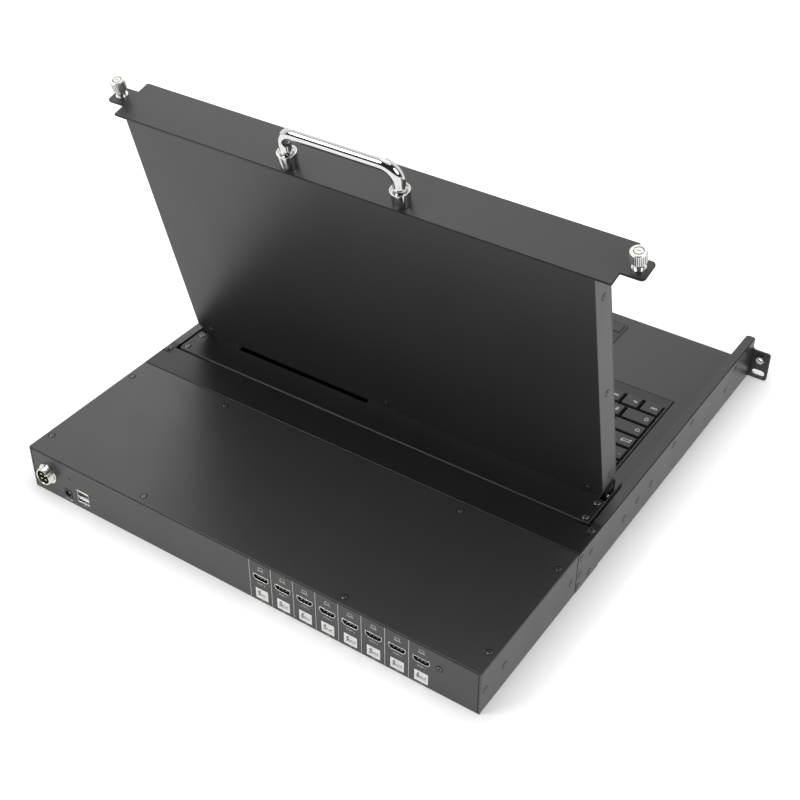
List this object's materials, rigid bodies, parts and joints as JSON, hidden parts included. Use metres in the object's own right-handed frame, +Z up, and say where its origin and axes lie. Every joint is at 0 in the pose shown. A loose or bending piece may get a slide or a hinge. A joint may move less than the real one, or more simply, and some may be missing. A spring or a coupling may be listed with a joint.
{
  "type": "rackmount lcd console drawer",
  "caption": "One-unit rack console: a sliding keyboard drawer with a hinged LCD lid, and a video switch module behind it.",
  "frame": {"origin": "midway between the two rack screw slots, on the front face of the rack ears", "axes": "+X to the operator's right, +Y to the rear of the rack, +Z up; the lid rests open"},
  "size_m": [0.4826, 0.505, 0.3288],
  "materials": {
    "dark_paint": "semi-matt dark grey powder coat",
    "chrome": "bright chrome plate",
    "zinc_steel": "bright zinc plate",
    "nickel": "satin nickel plate",
    "black_zinc": "black zinc plate",
    "brass_contact": "gold-plated brass",
    "black_plastic": "matt moulded plastic",
    "key_plastic": "fine-grained moulded plastic",
    "white_plastic": "white moulded plastic",
    "led_lens": "clear lens, unlit",
    "circuit_board": "green solder resist",
    "screen": "dark glass in front of the display"
  },
  "bodies": {
    "chassis": {"side_rail_left": "dark_paint", "side_rail_right": "dark_paint", "ear_nuts": "zinc_steel", "bridge_pan": "dark_paint", "bridge_cover": "dark_paint", "module_pan": "dark_paint", "module_cover": "dark_paint", "rear_panel": "dark_paint", "hdmi_ports": "nickel", "hdmi_tongues": "black_plastic", "usb_b_ports": "white_plastic", "usb_a_port": "nickel", "usb_tongues": "white_plastic", "dc_jack": "black_plastic", "round_connector": "nickel", "round_insert": "black_plastic", "contact_pins": "brass_contact", "status_led": "led_lens", "port_board": "circuit_board", "video_board": "circuit_board", "board_standoffs": "zinc_steel", "chassis_screws": "black_zinc", "slide_outers": "zinc_steel"},
    "slide_members": {"slide_middles": "zinc_steel", "slide_cages": "black_zinc"},
    "drawer": {"slide_inners": "zinc_steel", "drawer_pan": "dark_paint", "drawer_rear": "dark_paint", "tray_deck": "dark_paint", "hinge_cover": "dark_paint", "drawer_screws": "black_zinc", "hinge_bases": "zinc_steel", "hinge_pins": "chrome", "keyboard_frame": "black_plastic", "touchpad_frame": "black_plastic", "touchpad": "key_plastic"},
    "lid": {"lid_shell": "dark_paint", "lid_bezel": "dark_paint", "screen_glass": "screen", "lcd_panel": "black_plastic", "display_board": "circuit_board", "hinge_arms": "chrome", "front_panel": "dark_paint", "handle": "chrome", "handle_ferrules": "chrome", "lid_screws": "black_zinc", "thumb_collars": "nickel"},
    "menu_buttons": {"osd_buttons": "key_plastic"},
    "keys_1": {"key_row_1": "key_plastic"},
    "keys_2": {"key_row_2": "key_plastic"},
    "keys_3": {"key_row_3": "key_plastic"},
    "keys_4": {"key_row_4": "key_plastic"},
    "keys_5": {"key_row_5": "key_plastic"},
    "keys_6": {"key_row_6": "key_plastic"},
    "click_left": {"touch_button_left": "key_plastic"},
    "clip_left": {"thumb_clip_left": "zinc_steel"},
    "screw_left": {"thumbscrew_left": "nickel"},
    "click_right": {"touch_button_right": "key_plastic"},
    "clip_right": {"thumb_clip_right": "zinc_steel"},
    "screw_right": {"thumbscrew_right": "nickel"}
  },
  "joints": [
    {"name": "drawer_slide", "type": "slide", "parent": "chassis", "child": "drawer", "axis": [0, -1, 0], "range_m": [0, 0.34]},
    {"name": "slide_member_travel", "type": "slide", "parent": "chassis", "child": "slide_members", "axis": [0, -1, 0], "range_m": [0, 0.17]},
    {"name": "lid_hinge", "type": "hinge", "parent": "drawer", "child": "lid", "pos_m": [0, 0.2688, 0.02395], "axis": [-1, 0, 0], "range_deg": [-104.1, 6]},
    {"name": "menu_press", "type": "slide", "parent": "lid", "child": "menu_buttons", "axis": [0, 0.9699, -0.2436], "range_m": [0, 0.0005], "stiffness_N_per_m": 800, "springref_m": -0.001},
    {"name": "key_row_1_press", "type": "slide", "parent": "drawer", "child": "keys_1", "axis": [0, 0, -1], "range_m": [0, 0.002], "stiffness_N_per_m": 400, "springref_m": -0.004},
    {"name": "key_row_2_press", "type": "slide", "parent": "drawer", "child": "keys_2", "axis": [0, 0, -1], "range_m": [0, 0.002], "stiffness_N_per_m": 400, "springref_m": -0.004},
    {"name": "key_row_3_press", "type": "slide", "parent": "drawer", "child": "keys_3", "axis": [0, 0, -1], "range_m": [0, 0.002], "stiffness_N_per_m": 400, "springref_m": -0.004},
    {"name": "key_row_4_press", "type": "slide", "parent": "drawer", "child": "keys_4", "axis": [0, 0, -1], "range_m": [0, 0.002], "stiffness_N_per_m": 400, "springref_m": -0.004},
    {"name": "key_row_5_press", "type": "slide", "parent": "drawer", "child": "keys_5", "axis": [0, 0, -1], "range_m": [0, 0.002], "stiffness_N_per_m": 400, "springref_m": -0.004},
    {"name": "key_row_6_press", "type": "slide", "parent": "drawer", "child": "keys_6", "axis": [0, 0, -1], "range_m": [0, 0.002], "stiffness_N_per_m": 400, "springref_m": -0.004},
    {"name": "click_left_press", "type": "slide", "parent": "drawer", "child": "click_left", "axis": [0, 0, -1], "range_m": [0, 0.001], "stiffness_N_per_m": 500, "springref_m": -0.002},
    {"name": "thumbscrew_left_reach", "type": "slide", "parent": "lid", "child": "clip_left", "axis": [0, -0.2436, -0.9699], "range_m": [0, 0.0044], "stiffness_N_per_m": 800, "springref_m": -0.002},
    {"name": "thumbscrew_left_turn", "type": "hinge", "parent": "clip_left", "child": "screw_left", "pos_m": [-0.23255, 0.32648, 0.28867], "axis": [0, -0.2436, -0.9699], "continuous": true},
    {"name": "click_right_press", "type": "slide", "parent": "drawer", "child": "click_right", "axis": [0, 0, -1], "range_m": [0, 0.001], "stiffness_N_per_m": 500, "springref_m": -0.002},
    {"name": "thumbscrew_right_reach", "type": "slide", "parent": "lid", "child": "clip_right", "axis": [0, -0.2436, -0.9699], "range_m": [0, 0.0044], "stiffness_N_per_m": 800, "springref_m": -0.002},
    {"name": "thumbscrew_right_turn", "type": "hinge", "parent": "clip_right", "child": "screw_right", "pos_m": [0.23255, 0.32648, 0.28867], "axis": [0, -0.2436, -0.9699], "continuous": true}
  ],
  "couplings": [
    {"joint": "slide_member_travel", "follows": "drawer_slide", "ratio": 0.5}
  ]
}
